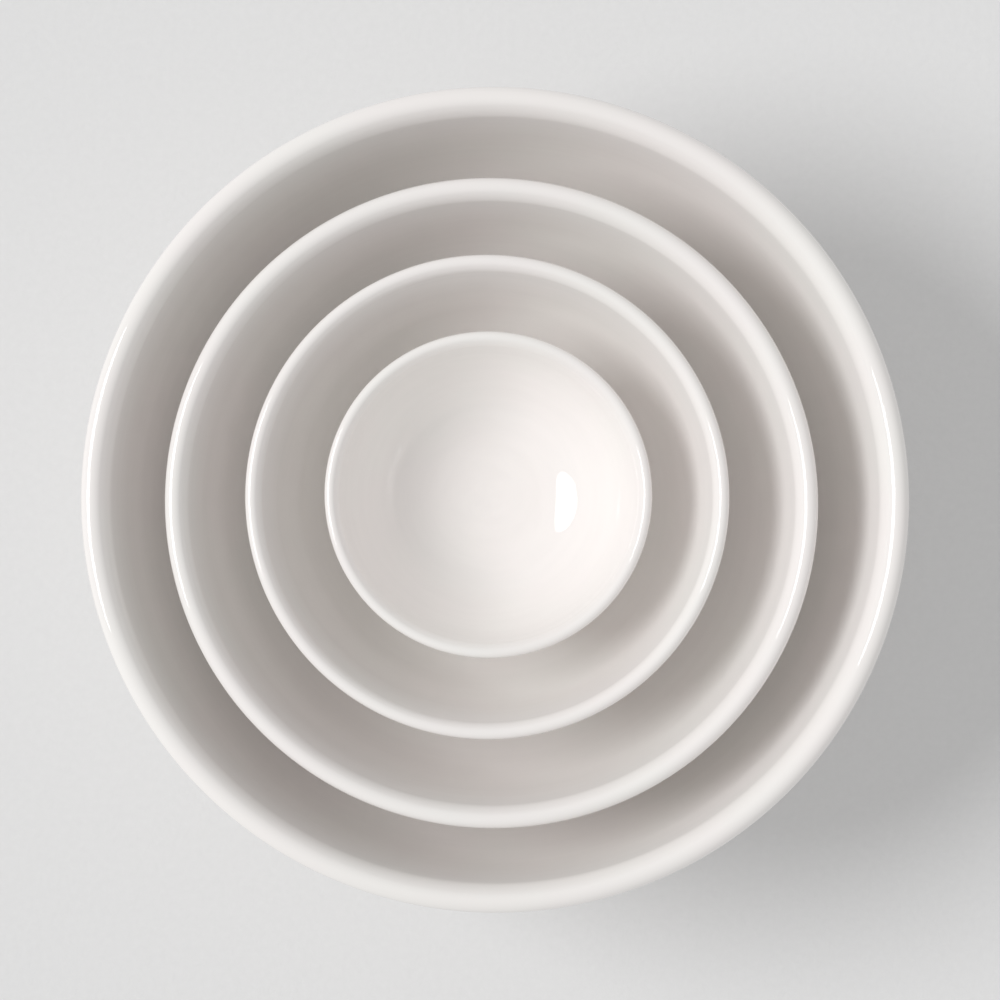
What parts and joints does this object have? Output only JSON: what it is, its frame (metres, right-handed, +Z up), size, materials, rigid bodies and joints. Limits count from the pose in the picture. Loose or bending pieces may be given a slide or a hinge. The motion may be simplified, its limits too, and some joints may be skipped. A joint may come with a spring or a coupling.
{
  "type": "nest of mixing bowls",
  "caption": "Nest of round white glazed porcelain mixing bowls with thick rolled rims, each standing on its foot ring inside the next larger one.",
  "frame": {"origin": "middle of the large bowl's foot ring, on the plane that it stands on", "axes": "+Z up along the large bowl's axis; the smaller bowls stand a little off it, where a hand set them down"},
  "size_m": [0.254, 0.254, 0.1016],
  "materials": {
    "white_glaze": "gloss"
  },
  "bodies": {
    "large_bowl": {"large_bowl": "white_glaze"},
    "medium_bowl": {"medium_bowl": "white_glaze"},
    "small_bowl": {"small_bowl": "white_glaze"},
    "mini_bowl": {"mini_bowl": "white_glaze"}
  },
  "joints": [
    {"name": "medium_bowl_lift", "type": "slide", "parent": "large_bowl", "child": "medium_bowl", "axis": [0, 0, 1], "range_m": [0, 0.1]},
    {"name": "small_bowl_lift", "type": "slide", "parent": "medium_bowl", "child": "small_bowl", "axis": [0, 0, 1], "range_m": [0, 0.085]},
    {"name": "mini_bowl_lift", "type": "slide", "parent": "small_bowl", "child": "mini_bowl", "axis": [0, 0, 1], "range_m": [0, 0.07]}
  ]
}
